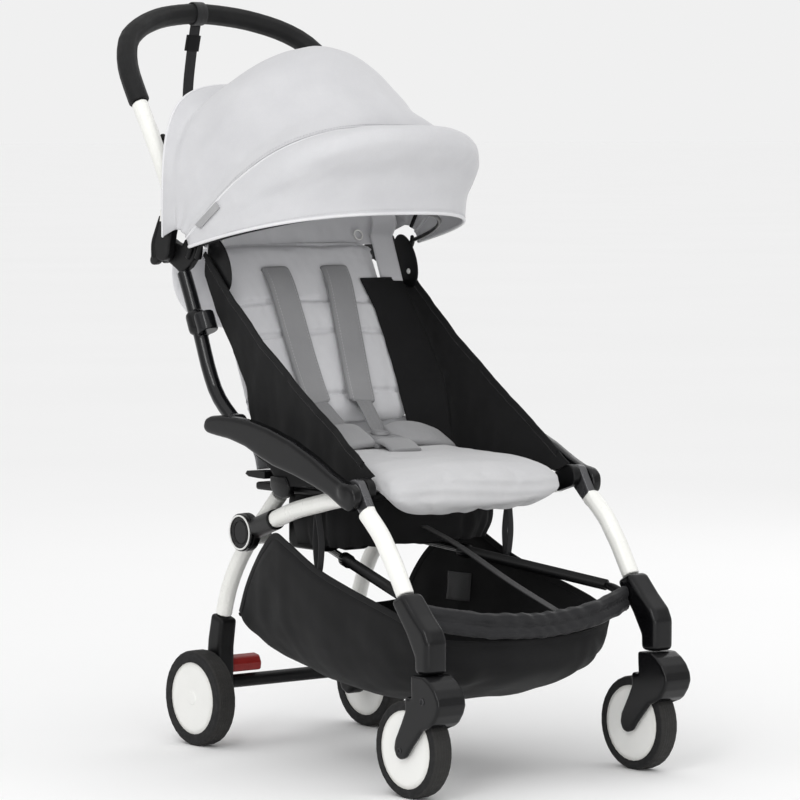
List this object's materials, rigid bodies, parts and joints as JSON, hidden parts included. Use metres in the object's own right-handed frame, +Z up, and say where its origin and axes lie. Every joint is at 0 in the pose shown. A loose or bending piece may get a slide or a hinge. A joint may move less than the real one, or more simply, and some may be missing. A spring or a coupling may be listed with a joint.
{
  "type": "stroller chassis",
  "caption": "Compact folding stroller: white tube frame, swivel front casters, seat with harness, two-bow sun hood, leather-look push bar and a black under-seat basket.",
  "frame": {"origin": "on the ground, under the middle of the outline", "axes": "+Z up; the stroller faces -Y; +X towards the side without the brake pedal"},
  "size_m": [0.4406, 0.8631, 1.0599],
  "materials": {
    "white_tube": "satin white paint",
    "white_plastic": "satin",
    "black_tube": "black anodised, satin",
    "black_plastic": "fine-grained moulded",
    "black_gloss": "smooth moulded",
    "tyre": "matte",
    "grip": "fine leather grain",
    "black_fabric": "tight weave",
    "grey_fabric": "tight weave",
    "pad_fabric": "quilted weave",
    "grey_webbing": "woven webbing",
    "black_webbing": "woven webbing",
    "red_plastic": "satin"
  },
  "bodies": {
    "chassis": {"link_tube_right": "white_tube", "link_tube_left": "white_tube", "hub_right": "black_plastic", "hub_left": "black_plastic", "hub_cap_right": "black_plastic", "hub_cap_left": "black_plastic", "side_arm_right": "black_gloss", "side_arm_left": "black_gloss", "fold_mechanism": "black_plastic", "seat_frame": "black_plastic", "strut_rod_right": "black_tube", "strut_rod_left": "black_tube", "seat_cushion": "pad_fabric", "basket": "black_fabric", "harness_buckle": "grey_webbing"},
    "front_legs": {"front_leg_right": "white_tube", "front_leg_left": "white_tube", "caster_housing_right": "black_gloss", "caster_housing_left": "black_gloss", "front_crossbar": "black_plastic"},
    "rear_legs": {"rear_leg_right": "white_tube", "rear_leg_left": "white_tube", "rear_lower_leg_right": "black_plastic", "rear_lower_leg_left": "black_plastic", "rear_crossbar": "black_plastic"},
    "back_frame": {"back_tube_right": "black_tube", "back_tube_left": "black_tube", "hinge_clamp_right": "black_plastic", "hinge_clamp_left": "black_plastic", "seat_back": "pad_fabric", "backrest_pocket": "grey_fabric", "side_panel_right": "black_fabric", "side_panel_left": "black_fabric", "shoulder_strap_right": "grey_webbing", "shoulder_strap_left": "grey_webbing"},
    "handlebar": {"handle_tube_right": "white_tube", "handle_tube_left": "white_tube", "handle_grip": "grip", "handle_strap": "black_webbing"},
    "hood_rear": {"canopy_hood": "grey_fabric", "canopy_bow_middle": "black_plastic"},
    "hood_front": {"canopy_visor": "grey_fabric", "canopy_bow_front": "black_plastic"},
    "brake_lever": {"brake_pedal": "red_plastic"},
    "fold_tab": {"release_tab": "black_plastic"},
    "buckle_press": {"buckle_button": "grey_webbing"},
    "caster_right": {"caster_fork_right": "black_gloss"},
    "front_wheelset_right": {"front_tyre_right": "tyre", "front_wheel_right": "white_plastic"},
    "rear_wheelset_right": {"rear_tyre_right": "tyre", "rear_wheel_right": "white_plastic"},
    "strut_right": {"strut_sleeve_right": "black_plastic"},
    "fold_button_right": {"handle_button_right": "black_plastic"},
    "caster_left": {"caster_fork_left": "black_gloss"},
    "front_wheelset_left": {"front_tyre_left": "tyre", "front_wheel_left": "white_plastic"},
    "rear_wheelset_left": {"rear_tyre_left": "tyre", "rear_wheel_left": "white_plastic"},
    "strut_left": {"strut_sleeve_left": "black_plastic"},
    "fold_button_left": {"handle_button_left": "black_plastic"}
  },
  "joints": [
    {"name": "frame_fold", "type": "hinge", "parent": "chassis", "child": "back_frame", "pos_m": [0, 0.0577, 0.468], "axis": [1, 0, 0], "range_deg": [0, 105], "deforming": ["seat_back", "side_panel_right", "side_panel_left", "shoulder_strap_right", "shoulder_strap_left", "backrest_pocket", "basket", "canopy_hood"]},
    {"name": "front_leg_fold", "type": "hinge", "parent": "chassis", "child": "front_legs", "pos_m": [0, -0.2243, 0.396], "axis": [1, 0, 0], "range_deg": [0, 56.5]},
    {"name": "rear_leg_fold", "type": "hinge", "parent": "chassis", "child": "rear_legs", "pos_m": [0, 0.1027, 0.311], "axis": [-1, 0, 0], "range_deg": [0, 54.5]},
    {"name": "hood_follow", "type": "hinge", "parent": "back_frame", "child": "hood_rear", "pos_m": [0, 0.1777, 0.705], "axis": [-1, 0, 0], "range_deg": [0, 38.5]},
    {"name": "canopy_fold", "type": "hinge", "parent": "hood_rear", "child": "hood_front", "pos_m": [0, 0.1777, 0.705], "axis": [-1, 0, 0], "range_deg": [0, 75], "deforming": ["canopy_visor"]},
    {"name": "handle_fold", "type": "hinge", "parent": "back_frame", "child": "handlebar", "pos_m": [0, 0.2237, 0.708], "axis": [-1, 0, 0], "range_deg": [0, 143], "deforming": ["handle_strap"]},
    {"name": "brake_press", "type": "hinge", "parent": "rear_legs", "child": "brake_lever", "pos_m": [-0.0785, 0.1917, 0.11], "axis": [-1, 0, 0], "range_deg": [0, 15]},
    {"name": "tab_pull", "type": "hinge", "parent": "chassis", "child": "fold_tab", "pos_m": [-0.1375, 0.0437, 0.3955], "axis": [1, 0, 0], "range_deg": [0, 12], "stiffness_Nm_per_rad": 0.4},
    {"name": "buckle_push", "type": "slide", "parent": "chassis", "child": "buckle_press", "axis": [0, 0.1045, -0.9945], "range_m": [0, 0.0022], "stiffness_N_per_m": 500},
    {"name": "strut_slide_right", "type": "slide", "parent": "chassis", "child": "strut_right", "axis": [0.2714, 0.9528, 0.1357], "range_m": [0, 0.0785]},
    {"name": "caster_swivel_right", "type": "hinge", "parent": "front_legs", "child": "caster_right", "pos_m": [-0.1965, -0.3863, 0.1664], "axis": [0, 0, 1], "continuous": true},
    {"name": "front_wheel_spin_right", "type": "hinge", "parent": "caster_right", "child": "front_wheelset_right", "pos_m": [-0.1965, -0.3499, 0.0645], "axis": [1, 0, 0], "continuous": true},
    {"name": "rear_wheel_spin_right", "type": "hinge", "parent": "rear_legs", "child": "rear_wheelset_right", "pos_m": [-0.1535, 0.1962, 0.0678], "axis": [1, 0, 0], "continuous": true},
    {"name": "button_slide_right", "type": "slide", "parent": "handlebar", "child": "fold_button_right", "axis": [0, 0.548, 0.8365], "range_m": [0, 0.003], "stiffness_N_per_m": 400},
    {"name": "strut_slide_left", "type": "slide", "parent": "chassis", "child": "strut_left", "axis": [-0.2714, 0.9528, 0.1357], "range_m": [0, 0.0785]},
    {"name": "caster_swivel_left", "type": "hinge", "parent": "front_legs", "child": "caster_left", "pos_m": [0.1965, -0.3863, 0.1664], "axis": [0, 0, 1], "continuous": true},
    {"name": "front_wheel_spin_left", "type": "hinge", "parent": "caster_left", "child": "front_wheelset_left", "pos_m": [0.1965, -0.3499, 0.0645], "axis": [1, 0, 0], "continuous": true},
    {"name": "rear_wheel_spin_left", "type": "hinge", "parent": "rear_legs", "child": "rear_wheelset_left", "pos_m": [0.1535, 0.1962, 0.0678], "axis": [1, 0, 0], "continuous": true},
    {"name": "button_slide_left", "type": "slide", "parent": "handlebar", "child": "fold_button_left", "axis": [0, 0.548, 0.8365], "range_m": [0, 0.003], "stiffness_N_per_m": 400}
  ],
  "couplings": [
    {"joint": "front_leg_fold", "follows": "frame_fold", "ratio": 0.53333},
    {"joint": "rear_leg_fold", "follows": "frame_fold", "ratio": 0.51429},
    {"joint": "hood_follow", "follows": "frame_fold", "ratio": 0.3619},
    {"joint": "strut_slide_right", "follows": "frame_fold", "m_per_rad": 0.04256},
    {"joint": "strut_slide_left", "follows": "frame_fold", "m_per_rad": 0.04256}
  ]
}
